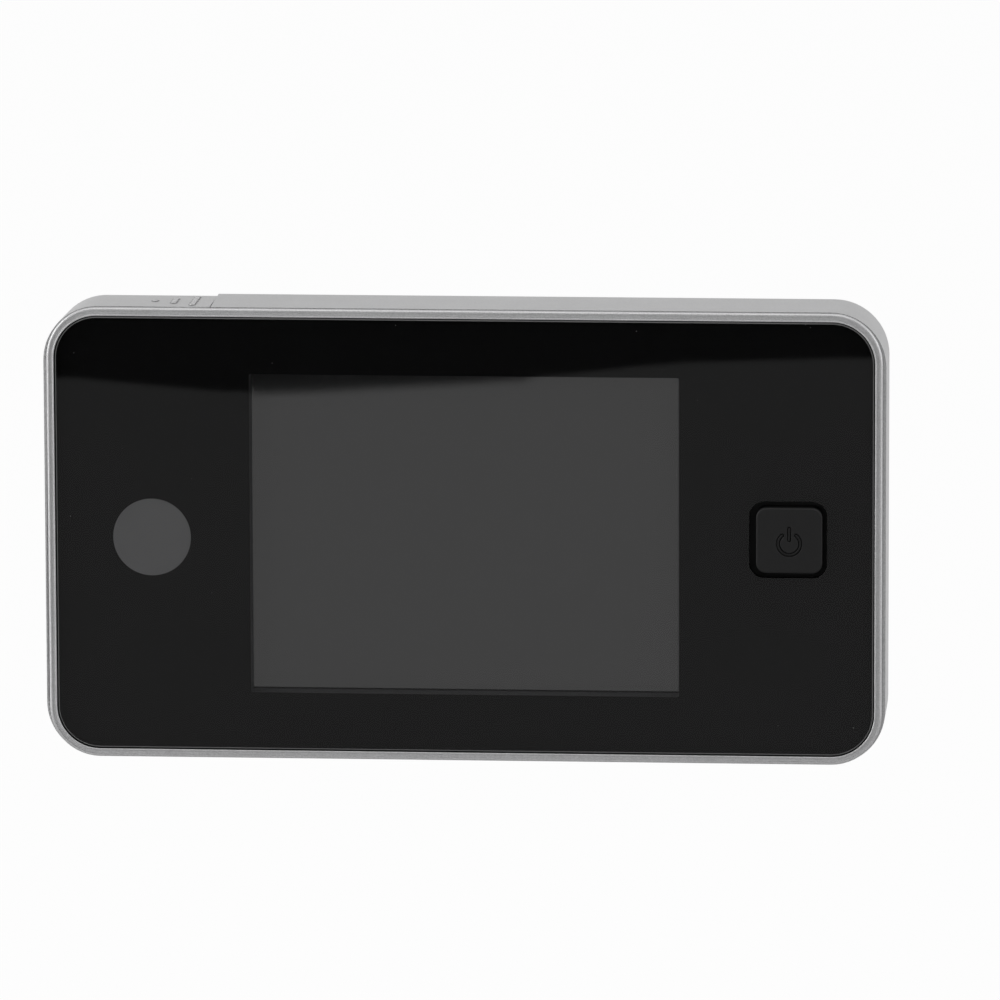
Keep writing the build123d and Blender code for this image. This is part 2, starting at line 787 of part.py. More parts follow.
with BuildPart() as screen_glass:
    with BuildSketch(level(module_front - glass_thickness)):
        with Locations((module_x, window_offset_z)):
            Rectangle(inner_width, inner_height)
    extrude(amount=glass_thickness)
finish(screen_glass.part, "screen_glass")

with BuildPart() as screen_polariser:
    with BuildSketch(level(module_front)):
        with Locations((window_x, window_offset_z)):
            Rectangle(active_width, active_height)
    extrude(amount=polariser_thickness)
finish(screen_polariser.part, "screen_polariser")

# Two strips of foam tape that hold the module to the board
with BuildPart() as module_tape:
    with BuildSketch(level(board_front)):
        with Locations((module_x, window_offset_z)):
            with GridLocations(module_width - 2 * module_tape_inset, 0, 2, 1):
                Rectangle(module_tape_width, module_height - module_tape_inset)
    extrude(amount=module_tape_thickness)
finish(module_tape.part, "module_tape")

# Socket for the screen's ribbon, and the ribbon
screen_socket_x = module_right + screen_socket_gap + screen_socket_width / 2
ribbon_level = board_front + screen_socket_height / 2
ribbon_start = module_back + module_skin + ribbon_thickness

with BuildPart() as screen_socket:
    with BuildSketch(level(board_front)):
        with Locations((screen_socket_x, ribbon_offset_z)):
            Rectangle(screen_socket_width, screen_socket_length)
    extrude(amount=screen_socket_height)
    with BuildSketch(Plane.YZ.offset(screen_socket_x - screen_socket_width / 2)):
        with Locations((-ribbon_level, ribbon_offset_z)):
            Rectangle(ribbon_thickness + ribbon_fit, ribbon_width + ribbon_fit)
    extrude(amount=ribbon_tuck + ribbon_fit, mode=Mode.SUBTRACT)
finish(screen_socket.part, "screen_socket")

with BuildPart() as screen_ribbon:
    with BuildSketch(Plane.XY.offset(ribbon_offset_z - ribbon_width / 2)):
        with BuildLine():
            FilletPolyline(
                (module_right, -ribbon_start),
                (module_right + screen_socket_gap * ribbon_bend_share, -ribbon_start),
                (module_right + screen_socket_gap * (1 - ribbon_bend_share), -ribbon_level),
                (module_right + screen_socket_gap + ribbon_tuck, -ribbon_level),
                radius=ribbon_bend_radius,
            )
        trace(line_width=ribbon_thickness)
    extrude(amount=ribbon_width)
finish(screen_ribbon.part, "screen_ribbon")

# Main board, notched round the case screws' posts
with BuildPart() as main_board:
    with BuildSketch(level(board_back)):
        with Locations(((board_left + board_right) / 2, 0)):
            RectangleRounded(board_right - board_left, 2 * board_half_height, board_corner_radius)
        with Locations(*case_screw_places):
            Circle(post_diameter / 2 + post_board_gap, mode=Mode.SUBTRACT)
        with Locations(*board_screw_places):
            Circle(screw_shank_diameter / 2 + screw_hole_clearance, mode=Mode.SUBTRACT)
    extrude(amount=board_thickness)
finish(main_board.part, "main_board")


def chip(name, width, height, rise, shares):
    """A flat block on the back of the board, at shares of the unit's width and height."""
    with BuildPart() as block:
        with BuildSketch(level(board_back)):
            with Locations((shares[0] * unit_width, shares[1] * unit_height)):
                Rectangle(width, height)
        extrude(amount=-rise)
        chamfer(block.faces().sort_by(Axis.Y)[-1].edges(), chip_edge)
    finish(block.part, name)


chip("processor", processor_size, processor_size, processor_height, processor_place_shares)
chip("memory_chip", memory_length, memory_width, memory_height, memory_place_shares)
chip("crystal", crystal_length, crystal_width, crystal_height, crystal_place_shares)

with BuildPart() as power_inductor:
    with BuildSketch(level(board_back)):
        with Locations((inductor_place_shares[0] * unit_width, inductor_place_shares[1] * unit_height)):
            RectangleRounded(inductor_size, inductor_size, inductor_size / 4)
    extrude(amount=-inductor_height)
    with BuildSketch(level(board_back - inductor_height)):
        with Locations((inductor_place_shares[0] * unit_width, inductor_place_shares[1] * unit_height)):
            Circle(inductor_core_diameter / 2)
    extrude(amount=inductor_height / 4, mode=Mode.SUBTRACT)
finish(power_inductor.part, "power_inductor")

with BuildPart() as board_capacitors:
    with BuildSketch(level(board_back)):
        with Locations((capacitor_place_shares[0] * unit_width, capacitor_place_shares[1] * unit_height)):
            with GridLocations(0, capacitor_pitch, 1, capacitor_count):
                Circle(capacitor_diameter / 2)
    extrude(amount=-capacitor_height)
finish(board_capacitors.part, "board_capacitors")

# Socket for the camera's ribbon, behind the cable opening, with its mouth downwards
socket_level = board_back - socket_height / 2

with BuildPart() as camera_socket:
    with BuildSketch(level(board_back)):
        with Locations((0, cable_opening_offset_z)):
            Rectangle(socket_length, socket_width)
    extrude(amount=-socket_height)
    with BuildSketch(Plane.XY.offset(cable_opening_offset_z - socket_width / 2)):
        with Locations((0, -socket_level)):
            Rectangle(socket_slot_length, socket_slot_height)
    extrude(amount=socket_slot_depth, mode=Mode.SUBTRACT)
finish(camera_socket.part, "camera_socket")


def screws(name, places, head_back, length):
    """Pan-headed screws that enter from the back, one at each place."""
    with BuildPart() as group:
        with BuildSketch(level(head_back)):
            with Locations(*places):
                Circle(screw_head_diameter / 2)
        extrude(amount=screw_head_height)
        chamfer(group.faces().sort_by(Axis.Y)[-len(places):].edges(), screw_head_edge)
        with BuildSketch(level(head_back + screw_head_height)):
            with Locations(*places):
                Circle(screw_shank_diameter / 2)
        extrude(amount=length)
    finish(group.part, name)


screws("case_screws", case_screw_places, screw_head_sink, screw_length)
screws("board_screws", board_screw_places, board_back - screw_head_height, board_screw_length)
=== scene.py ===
import json
import math

import bmesh
import bpy
import numpy as np
from mathutils import Matrix, Vector


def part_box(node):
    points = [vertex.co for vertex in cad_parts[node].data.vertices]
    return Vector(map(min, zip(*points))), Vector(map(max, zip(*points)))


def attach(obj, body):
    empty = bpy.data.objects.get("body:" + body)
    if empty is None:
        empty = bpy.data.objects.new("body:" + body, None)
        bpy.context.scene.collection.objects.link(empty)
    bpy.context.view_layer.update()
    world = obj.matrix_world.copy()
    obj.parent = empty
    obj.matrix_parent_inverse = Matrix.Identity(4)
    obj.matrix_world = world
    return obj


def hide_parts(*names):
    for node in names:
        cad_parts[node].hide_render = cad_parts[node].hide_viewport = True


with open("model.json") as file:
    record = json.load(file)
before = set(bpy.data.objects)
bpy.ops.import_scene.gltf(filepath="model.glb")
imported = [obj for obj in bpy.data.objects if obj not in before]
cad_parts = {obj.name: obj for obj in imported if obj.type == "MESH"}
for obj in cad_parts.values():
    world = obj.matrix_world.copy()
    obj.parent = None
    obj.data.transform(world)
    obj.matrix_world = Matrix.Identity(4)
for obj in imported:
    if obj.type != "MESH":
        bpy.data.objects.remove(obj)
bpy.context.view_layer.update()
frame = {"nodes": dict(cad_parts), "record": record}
mm = 0.001


# A new object that holds the data, put into the scene
def addObject(name, data):
    thing = bpy.data.objects.new(name, data)
    bpy.context.scene.collection.objects.link(thing)
    return thing


# The photograph was taken from a little right of the unit and a little above it, with a long lens
cameraView = {
    "azimuth": 4.284,  # degrees to the right
    "elevation": 10.38,  # degrees above
    "roll": -0.183,
    "distance": 1528.2 * mm,  # from the middle of the front rim
    "aimRight": 5.36 * mm,  # how far the middle of the view lies from the middle of the rim
    "aimUp": 5.442 * mm,
    "lens": 371.27,
    "sensor": 36.0,
}


def makeCamera(view):
    a, e, r = (math.radians(view[key]) for key in ("azimuth", "elevation", "roll"))
    back = Vector((math.sin(a) * math.cos(e), -math.cos(a) * math.cos(e), math.sin(e)))
    level = Vector((math.cos(a), math.sin(a), 0))
    upright = back.cross(level)
    right = level * math.cos(r) + upright * math.sin(r)
    up = upright * math.cos(r) - level * math.sin(r)
    rimFront = Vector((0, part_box("front_frame")[0].y, 0))
    place = rimFront + back * view["distance"] + right * view["aimRight"] + up * view["aimUp"]
    data = bpy.data.cameras.new("photoCamera")
    data.lens = view["lens"]
    data.sensor_width = view["sensor"]
    camera = addObject("photoCamera", data)
    camera.matrix_world = Matrix.Translation(place) @ Matrix((right, up, back)).transposed().to_4x4()
    bpy.context.scene.camera = camera


makeCamera(cameraView)
print("camera placed")


# A node with its settings and inputs. An input is a value or another node's output
def addNode(tree, kind, inputs=(), **settings):
    node = tree.nodes.new("ShaderNode" + kind)
    for key, value in settings.items():
        setattr(node, key, value)
    for key, value in dict(inputs).items():
        if isinstance(value, bpy.types.NodeSocket):
            tree.links.new(value, node.inputs[key])
        else:
            node.inputs[key].default_value = value
    return node


# A material and its tree, with the Principled shader set from a dictionary of socket values
def startMaterial(name, sockets=()):
    material = bpy.data.materials.new(name)
    material.use_nodes = True
    tree = material.node_tree
    shader = tree.nodes["Principled BSDF"]
    for key, value in dict(sockets).items():
        shader.inputs[key].default_value = value
    return material, tree, shader


def objectPoint(tree, stretch=(1, 1, 1)):
    point = addNode(tree, "TexCoord").outputs["Object"]
    return addNode(tree, "Mapping", {"Vector": point, "Scale": stretch}).outputs["Vector"]


def noise(tree, point, size, detail=2.0):
    return addNode(tree, "TexNoise", {"Vector": point, "Scale": 1 / size, "Detail": detail}).outputs["Fac"]


def cells(tree, point, size, feature="F1"):
    return addNode(tree, "TexVoronoi", {"Vector": point, "Scale": 1 / size}, feature=feature)


def calc(tree, operation, *values):
    inputs = dict(enumerate(values))
    return addNode(tree, "Math", inputs, operation=operation).outputs[0]


# A value carried from one range to another, clamped at both ends. A noise mostly runs from 0.3 to 0.7
def spread(tree, value, toLow, toHigh, low=0.3, high=0.7):
    inputs = {"Value": value, "From Min": low, "From Max": high, "To Min": toLow, "To Max": toHigh}
    return addNode(tree, "MapRange", inputs).outputs["Result"]


# A mix of two colours. They go into the Mix node's seventh and eighth inputs, and out of its third
# output
def tint(tree, factor, first, second):
    node = addNode(tree, "Mix", {"Factor": factor}, data_type="RGBA")
    for index, colour in ((6, first), (7, second)):
        if isinstance(colour, bpy.types.NodeSocket):
            tree.links.new(colour, node.inputs[index])
        else:
            node.inputs[index].default_value = (*colour, 1)
    return node.outputs[2]


def shaded(colour, share):
    return tuple(channel * share for channel in colour)


def relief(tree, height, depth):
    return addNode(tree, "Bump", {"Height": height, "Distance": depth}).outputs["Normal"]


# Whether a ray comes from the camera, a gloss or a glass, as 0 or 1
def seenDirectly(tree):
    path = addNode(tree, "LightPath").outputs
    both = calc(tree, "MAXIMUM", path["Is Camera Ray"], path["Is Glossy Ray"])
    return calc(tree, "MAXIMUM", both, path["Is Transmission Ray"])


# Silver paint on black plastic: fine flakes of uneven brightness over a slight orange peel, and painted shade
# round the grip pips. The paint ends inside the rim's opening and on the inside of the back, where the
# plastic is bare
silver = {
    "colour": (0.55, 0.55, 0.555),
    "metallic": 0.5,
    "bareColour": (0.012, 0.012, 0.012),
    "openingHalf": (60.92 * mm, 32.7 * mm),
    "openingRadius": 6.42 * mm,
    "openingSlack": 0.02 * mm,
    "paintDepth": 0.1 * mm,  # how far the paint reaches in from the lip
    "backDepth": 0.25 * mm,  # and from the back
    "recessHalf": (28.1 * mm, 20.1 * mm),  # the bracket's recess in the back, painted to its floor
    "recessDepth": 2.3 * mm,
    "roughness": (0.34, 0.42),
    "flakeSize": 0.17 * mm,
    "flakeShade": (0.9, 1.08),
    "flakeRange": (0.1, 0.9),  # of the flakes' random numbers, which the shades span
    "cloudSize": 6 * mm,
    "cloudShade": (0.98, 1.02),
    "peelSize": 0.35 * mm,
    "peelDepth": 0.004 * mm,
    "paintedShadeLevel": 0.3,  # of the paint's brightness, under the full painted shade round the grip pips and on their sides
    "sockets": {"Specular IOR Level": 0.3, "Specular Tint": (0.5, 0.5, 0.5, 1)},
}


# Whether a point has no paint. The distance to the opening's rounded rectangle is that of the sides
# where a point is beyond none or one of the two corner lines, and the corner circle's beyond both
def isBare(tree, look):
    place = addNode(tree, "TexCoord").outputs["Object"]
    x, y, z = addNode(tree, "SeparateXYZ", {0: place}).outputs
    radius = look["openingRadius"]
    beyond = [
        calc(tree, "MAXIMUM", calc(tree, "SUBTRACT", calc(tree, "ABSOLUTE", value), half - radius), 0.0)
        for value, half in zip((x, z), look["openingHalf"])
    ]
    corner = addNode(tree, "CombineXYZ", dict(enumerate(beyond))).outputs[0]
    length = addNode(tree, "VectorMath", {0: corner}, operation="LENGTH").outputs["Value"]
    within = calc(tree, "LESS_THAN", length, radius + look["openingSlack"])
    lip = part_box("front_frame")[0].y + look["paintDepth"]
    behindLip = calc(tree, "MULTIPLY", within, calc(tree, "GREATER_THAN", y, lip))
    inRecess = [
        calc(tree, "LESS_THAN", calc(tree, "ABSOLUTE", value), half)
        for value, half in zip((x, z), look["recessHalf"])
    ]
    recess = calc(tree, "MULTIPLY", *inRecess)
    painted = spread(tree, recess, look["backDepth"], look["recessDepth"], 0.0, 1.0)
    fromBack = calc(tree, "SUBTRACT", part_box("rear_shell")[1].y, y)
    return calc(tree, "MULTIPLY", behindLip, calc(tree, "GREATER_THAN", fromBack, painted))


def silverPaint(look):
    material, tree, shader = startMaterial("silverPaint", look["sockets"])
    bare = isBare(tree, look)
    metallic = spread(tree, bare, look["metallic"], 0.0, 0.0, 1.0)
    tree.links.new(metallic, shader.inputs["Metallic"])
    point = objectPoint(tree)
    flake = cells(tree, point, look["flakeSize"]).outputs["Color"]
    flakeShade = spread(tree, flake, *look["flakeShade"], *look["flakeRange"])
    cloudShade = spread(tree, noise(tree, point, look["cloudSize"]), *look["cloudShade"])
    # Painted shade from the pips' own attribute: the paint darkens on the skirt round their feet and on their
    # sides
    paintedPipShade = addNode(tree, "Attribute", attribute_name="paintedPipShade").outputs["Fac"]
    unshaded = spread(tree, paintedPipShade, 1.0, look["paintedShadeLevel"], 0.0, 1.0)
    shade = calc(tree, "MULTIPLY", calc(tree, "MULTIPLY", flakeShade, cloudShade), unshaded)
    colour = addNode(tree, "VectorMath", {0: look["colour"], "Scale": shade}, operation="SCALE")
    painted = tint(tree, bare, colour.outputs[0], look["bareColour"])
    tree.links.new(painted, shader.inputs["Base Color"])
    tree.links.new(spread(tree, flake, *look["roughness"]), shader.inputs["Roughness"])
    peel = relief(tree, noise(tree, point, look["peelSize"]), look["peelDepth"])
    tree.links.new(peel, shader.inputs["Normal"])
    return material


# Clear acrylic: light goes straight through, and only its outer faces shine. Its sawn edges are painted dark
# as shade, its bevels are painted a lighter grey as a highlight, and a little dust lies on it
clearSheet = {
    "ior": 1.49,
    "roughness": (0.006, 0.014),
    # Painted shade on the sawn edges, and a painted highlight on the bevels
    "edgeShadeColour": (0.005, 0.005, 0.005),
    "bevelHighlightColour": (0.2, 0.2, 0.2),
    "bevelTilt": 0.3,  # how much a bevel faces forwards, at least
    "faceTilt": 0.95,  # and a face
    "smearSize": 9 * mm,
    "smearDetail": 3.0,
    "dustSize": 4 * mm,  # spacing of the specks
    "dustReach": 0.02,  # their size, as a share of that
    "dustColour": (0.10, 0.10, 0.10),
}


def clearAcrylic(look):
    material, tree, shader = startMaterial("clearAcrylic")
    tree.nodes.remove(shader)
    point = objectPoint(tree)
    smear = spread(tree, noise(tree, point, look["smearSize"], look["smearDetail"]), *look["roughness"])
    gloss = addNode(tree, "BsdfGlossy", {"Color": (1, 1, 1, 1), "Roughness": smear})
    clear = addNode(tree, "BsdfTransparent")
    mirror = addNode(tree, "Fresnel", {"IOR": look["ior"]}).outputs[0]
    inside = addNode(tree, "NewGeometry").outputs["Backfacing"]
    outside = calc(tree, "SUBTRACT", 1.0, inside)
    share = calc(tree, "MULTIPLY", mirror, outside)
    sheet = addNode(tree, "MixShader", {0: share, 1: clear.outputs[0], 2: gloss.outputs[0]})
    fromGrain = cells(tree, point, look["dustSize"]).outputs["Distance"]
    speck = calc(tree, "LESS_THAN", fromGrain, look["dustReach"])
    dustShare = calc(tree, "MULTIPLY", speck, outside)
    dust = addNode(tree, "BsdfDiffuse", {"Color": (*look["dustColour"], 1)})
    dusty = addNode(tree, "MixShader", {0: dustShare, 1: sheet.outputs[0], 2: dust.outputs[0]})
    normal = addNode(tree, "TexCoord").outputs["Normal"]
    tilt = calc(tree, "ABSOLUTE", addNode(tree, "SeparateXYZ", {0: normal}).outputs["Y"])
    # Faces that slant are painted: the bevels with a painted highlight, the sawn edges with painted shade
    bevel = calc(tree, "GREATER_THAN", tilt, look["bevelTilt"])
    edge = addNode(tree, "BsdfDiffuse", {"Color": tint(tree, bevel, look["edgeShadeColour"], look["bevelHighlightColour"])})
    cut = calc(tree, "LESS_THAN", tilt, look["faceTilt"])
    mixed = addNode(tree, "MixShader", {0: cut, 1: dusty.outputs[0], 2: edge.outputs[0]})
    tree.links.new(mixed.outputs[0], tree.nodes["Material Output"].inputs["Surface"])
    return material


# One recipe for most of what is inside: two shades in a noise, with a relief of its own
def plainFinish(
    name, colour, grain, shades=(0.9, 1.08), roughness=(0.4, 0.55), depth=0.01 * mm, stretch=(1, 1, 1),
    **sockets
):
    material, tree, shader = startMaterial(name, sockets)
    field = noise(tree, objectPoint(tree, stretch), grain, detail=4.0)
    pair = (shaded(colour, share) for share in shades)
    tree.links.new(tint(tree, spread(tree, field, 0.0, 1.0), *pair), shader.inputs["Base Color"])
    tree.links.new(spread(tree, field, *roughness), shader.inputs["Roughness"])
    tree.links.new(relief(tree, field, depth), shader.inputs["Normal"])
    return material


# Button: fine grained black, with painted shade that darkens the sign's strokes against the face
def buttonFinish(name, colour, grain, shades, roughness, depth, signShade, **sockets):
    material = plainFinish(name, colour, grain, shades, roughness, depth, **sockets)
    tree = material.node_tree
    shader = tree.nodes["Principled BSDF"]
    shade = shader.inputs["Base Color"].links[0].from_socket
    signPaintedShade = addNode(tree, "Attribute", attribute_name="signPaintedShade").outputs["Fac"]
    tree.links.new(tint(tree, signPaintedShade, shade, shaded(colour, signShade)), shader.inputs["Base Color"])
    return material


# Green board: copper tracks under the mask show as raised lighter lines, where two cells meet
boardLook = {
    "mask": (0.012, 0.085, 0.03),
    "track": (0.03, 0.17, 0.06),
    "trackPitch": 1.6 * mm,
    "trackShare": 0.09,
    "trackDepth": 0.03 * mm,
    "sockets": {"Roughness": 0.3, "Coat Weight": 0.4, "Coat Roughness": 0.15},
}


def boardMask(look):
    material, tree, shader = startMaterial("boardMask", look["sockets"])
    edge = cells(tree, objectPoint(tree), look["trackPitch"], "DISTANCE_TO_EDGE")
    line = spread(tree, edge.outputs["Distance"], 1.0, 0.0, 0.0, look["trackShare"])
    tree.links.new(tint(tree, line, look["mask"], look["track"]), shader.inputs["Base Color"])
    tree.links.new(relief(tree, line, look["trackDepth"]), shader.inputs["Normal"])
    return material


# Ribbon: amber film over parallel copper lines that run along it
ribbonLook = {
    "film": (0.42, 0.16, 0.03),
    "copper": (0.62, 0.3, 0.1),
    "pitch": 3.1416 * mm,
    "lineDepth": 0.02 * mm,
    "sockets": {"Roughness": 0.28, "Coat Weight": 0.5, "Coat Roughness": 0.12},
}


def ribbonFilm(look):
    material, tree, shader = startMaterial("ribbonFilm", look["sockets"])
    waveScale = math.pi / 10 / look["pitch"]  # at a scale of 1 the waves are a tenth of pi apart
    inputs = {"Vector": objectPoint(tree), "Scale": waveScale}
    wave = addNode(tree, "TexWave", inputs, bands_direction="Z").outputs["Fac"]
    tree.links.new(tint(tree, wave, look["film"], look["copper"]), shader.inputs["Base Color"])
    tree.links.new(relief(tree, wave, look["lineDepth"]), shader.inputs["Normal"])
    return material


# Dark screen film and the glass beyond its edge: both mirror more than the sheet in front of them
screenLook = {
    "film": (0.0085, 0.0086, 0.0088),
    "filmIor": 2.14,
    "border": (0.042, 0.042, 0.043),
    "borderIor": 1.571,
    "grain": 0.25 * mm,
}


def screenSurface(name, colour, ior, look):
    return plainFinish(
        name, colour, look["grain"], shades=(0.94, 1.06), roughness=(0.012, 0.03), depth=0.0, IOR=ior
    )


printColour = (0.0027, 0.0027, 0.0028)
matt = {"Specular IOR Level": 0.0}

materials = {
    "silver_housing": silverPaint(silver),
    "clear_sheet": clearAcrylic(clearSheet),
    "black_print": plainFinish(
        "blackPrint", printColour, 0.4 * mm, roughness=(0.6, 0.7), depth=0.0, **matt
    ),
    "grey_print": plainFinish(
        "greyPrint", (0.071, 0.071, 0.072), 0.3 * mm, (0.97, 1.03), (0.6, 0.7), 0.0, **matt
    ),
    "black_button": buttonFinish(
        "blackButton", (0.008, 0.008, 0.0082), 0.12 * mm, (0.8, 1.25), (0.55, 0.66), 0.004 * mm, 0.2,
        **{"Specular IOR Level": 0.27}
    ),
    "switch_case": plainFinish("switchCase", (0.02, 0.02, 0.021), 0.3 * mm),
    "plunger": plainFinish("plungerPlastic", (0.5, 0.44, 0.34), 0.3 * mm),
    "cell_jacket": plainFinish(
        "cellJacket", (0.05, 0.055, 0.06), 3 * mm, (0.97, 1.04), (0.24, 0.28), 0.001 * mm
    ),
    "spring_steel": plainFinish(
        "springSteel", (0.68, 0.66, 0.62), 0.2 * mm, (0.85, 1.05), (0.22, 0.36), 0.003 * mm, Metallic=1.0
    ),
    "foam": plainFinish("blackFoam", (0.02, 0.02, 0.02), 0.25 * mm, (0.5, 1.4), (0.8, 0.95), 0.08 * mm),
    "tape": plainFinish(  # as black as the printing, so that it shows nowhere through the sheet
        "blackTape", printColour, 0.5 * mm, (0.93, 1.04), (0.6, 0.7), 0.01 * mm, **matt
    ),
    "tray_steel": plainFinish(
        "traySteel", (0.55, 0.55, 0.55), 0.3 * mm, (0.9, 1.06), (0.25, 0.4), 0.003 * mm, (1, 1, 12),
        Metallic=1.0
    ),
    "backlight": plainFinish("lightGuide", (0.8, 0.8, 0.78), 1 * mm, (0.97, 1.02), (0.3, 0.4), 0.002 * mm),
    "screen_glass": screenSurface("screenBorder", screenLook["border"], screenLook["borderIor"], screenLook),
    "polariser": screenSurface("screenFilm", screenLook["film"], screenLook["filmIor"], screenLook),
    "board": boardMask(boardLook),
    "chip": plainFinish("chipEpoxy", (0.018, 0.018, 0.019), 0.15 * mm, (0.85, 1.15), (0.5, 0.65), 0.006 * mm),
    "crystal_can": plainFinish(
        "crystalCan", (0.66, 0.66, 0.66), 0.3 * mm, (0.9, 1.04), (0.2, 0.32), 0.002 * mm, Metallic=1.0
    ),
    "capacitor_can": plainFinish(
        "capacitorCan", (0.7, 0.7, 0.71), 0.2 * mm, (0.9, 1.03), (0.25, 0.35), 0.002 * mm, (1, 20, 1),
        Metallic=1.0
    ),
    "socket": plainFinish("socketPlastic", (0.62, 0.57, 0.46), 0.4 * mm, (0.95, 1.03), (0.4, 0.5)),
    "ribbon": ribbonFilm(ribbonLook),
    "screw_steel": plainFinish(
        "screwSteel", (0.2, 0.2, 0.21), 0.25 * mm, (0.8, 1.15), (0.28, 0.42), 0.003 * mm, Metallic=1.0
    ),
}
for part in frame["record"]["subparts"]:
    node = frame["nodes"][part["node"]]
    node.data.materials.clear()
    node.data.materials.append(materials[part["material_slot"]])
print("made", len(materials), "materials")

sharpAngle = 35  # degrees: where two faces meet at more than this, their edge stays sharp


def smoothFaces(mesh, angle):
    mesh.polygons.foreach_set("use_smooth", np.ones(len(mesh.polygons), bool))
    mesh.set_sharp_from_angle(angle=math.radians(angle))


# A mesh's points, as rows of X, Y and Z
def meshPoints(mesh):
    co = np.zeros(len(mesh.vertices) * 3)
    mesh.vertices.foreach_get("co", co)
    return co.reshape(-1, 3)


# A share from 0 to 1, eased at both ends
def eased(share):
    return share * share * (3 - 2 * share)


# Four corners per face: a point, its neighbour in the ring, and the two that follow in the next ring
def ringFaces(rows, columns):
    i, j = np.meshgrid(np.arange(rows - 1), np.arange(columns), indexing="ij")
    k = (j + 1) % columns
    here, after = i * columns, (i + 1) * columns
    return np.stack((here + j, here + k, after + k, after + j), -1).reshape(-1, 4)


# A piece from skins, each a run of rings. The first and last rings are closed by a fan to their
# middle, or joined to each other, and a skin whose volume comes out negative is turned round
def skinMesh(name, skins, material, body, looped=False):
    points, faces = [], []
    count = 0
    for rings in skins:
        rows, columns = rings.shape[:2]
        hubs = rings[[0, -1]].mean(axis=1)
        quads = ringFaces(rows, columns)
        if looped:  # the last ring joins the first, and there are no ends to close
            quads = ringFaces(rows + 1, columns) % (rows * columns)
        j = np.arange(columns)
        k = (j + 1) % columns
        first, last = rows * columns, rows * columns + 1
        fanFirst = np.stack((np.full(columns, first), k, j), -1)
        fanLast = np.stack((np.full(columns, last), (rows - 1) * columns + j, (rows - 1) * columns + k), -1)
        flat = np.concatenate((rings.reshape(-1, 3), hubs))
        if looped:
            flat, fanFirst, fanLast = flat[:-2], fanFirst[:0], fanLast[:0]
        triangles = np.concatenate((quads[:, [0, 1, 2]], quads[:, [0, 2, 3]], fanFirst, fanLast))
        corners = flat[triangles]
        volume = np.einsum("ij,ij->i", corners[:, 0], np.cross(corners[:, 1], corners[:, 2])).sum()
        if volume < 0:
            quads, fanFirst, fanLast = quads[:, ::-1], fanFirst[:, ::-1], fanLast[:, ::-1]
        points.append(flat)
        faces += (quads + count).tolist() + (fanFirst + count).tolist() + (fanLast + count).tolist()
        count += len(flat)
    mesh = bpy.data.meshes.new(name)
    mesh.from_pydata(np.concatenate(points).tolist(), [], faces)
    smoothFaces(mesh, sharpAngle)
    mesh.materials.append(material)
    piece = addObject(name, mesh)
    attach(piece, body)
    return piece


# Points evenly spaced along a rounded rectangle: straight sides joined by quarter circles, given as
# the walk along its length and turned into places by the side or corner that each falls in
def roundedOutline(halfWidth, halfHeight, radius, count):
    sides = np.array([2 * (halfHeight - radius), 2 * (halfWidth - radius)] * 2)
    arc = math.pi / 2 * radius
    starts = np.concatenate(([0], np.cumsum(sides + arc)))
    walk = (np.arange(count) + 0.5) / count * starts[-1]
    quarter = np.searchsorted(starts, walk, side="right") - 1
    along = walk - starts[quarter]
    straight = np.minimum(along, sides[quarter]) - sides[quarter] / 2
    turn = np.maximum(along - sides[quarter], 0) / radius
    angle = quarter * math.pi / 2
    reach = np.array([halfWidth, halfHeight] * 2)[quarter]
    x = reach - radius + radius * np.cos(turn)
    z = straight + radius * np.sin(turn)
    return np.stack((x * np.cos(angle) - z * np.sin(angle), x * np.sin(angle) + z * np.cos(angle)), -1)


# An outline of X and Z, set at a place along Y
def atDepth(line, y):
    return np.stack((line[:, 0], np.full(len(line), y), line[:, 1]), -1)


# Power button: a hollow cap with a flange and a stem, and the power sign sunk in its face
buttonLook = {
    "capSize": 9.8 * mm,
    "cornerRadius": 1.5 * mm,
    "edgeRadius": 0.25 * mm,
    "shift": (0.16 * mm, -0.1 * mm),  # from the middle of the flange
    "flangeFront": 2.75 * mm,  # behind the face
    "flangeThickness": 0.8 * mm,
    "flangeRadius": 1.25 * mm,
    "wall": 1.2 * mm,
    "stemRadius": 1.5 * mm,
    "signDrop": 0.5 * mm,  # the ring's middle below the cap's
    "ringRadius": 1.64 * mm,
    "stroke": 0.62 * mm,
    "gapAngle": 39.0,  # degrees from the top to each end of the ring
    "barFrom": 0.6 * mm,
    "barTo": 2.28 * mm,
    "signDepth": 0.05 * mm,
    "signWall": 0.05 * mm,
    "trenchDepth": 0.2 * mm,  # of the fine line that runs round the sign
    "trenchWidth": 0.085 * mm,
    "trenchBell": 1.4,  # the sharper, the more
    "floorShade": 0.5,  # how dark the painted shade on the strokes' floor is, against that in the trench
    "roundCount": 360,
    "signFrom": 0.12 * mm,  # the fine rings that carry the sign
    "signTo": 2.9 * mm,
    "signStep": 0.036 * mm,
    "outerRings": 15,
    "edgeSteps": 8,
    "stemCount": 48,
    "leastRadius": 0.05 * mm,
}


# The sign at a point: half the stroke's width less the distance to an arc about the middle, or to an
# upright line above it. From that come a share, 0 outside and 1 on the strokes' floor, and a
# bell-shaped trench along their edge
def signForm(x, z, look):
    angle = np.arctan2(x, z)
    held = np.sign(angle) * np.maximum(np.abs(angle), math.radians(look["gapAngle"]))
    toArc = np.hypot(x - look["ringRadius"] * np.sin(held), z - look["ringRadius"] * np.cos(held))
    toBar = np.hypot(x, z - np.clip(z, look["barFrom"], look["barTo"]))
    inside = look["stroke"] / 2 - np.minimum(toArc, toBar)
    share = np.clip(inside / look["signWall"], 0, 1)
    fromTrench = (inside - look["trenchWidth"]) / look["trenchWidth"]
    return share, np.exp(-look["trenchBell"] * fromTrench**2)


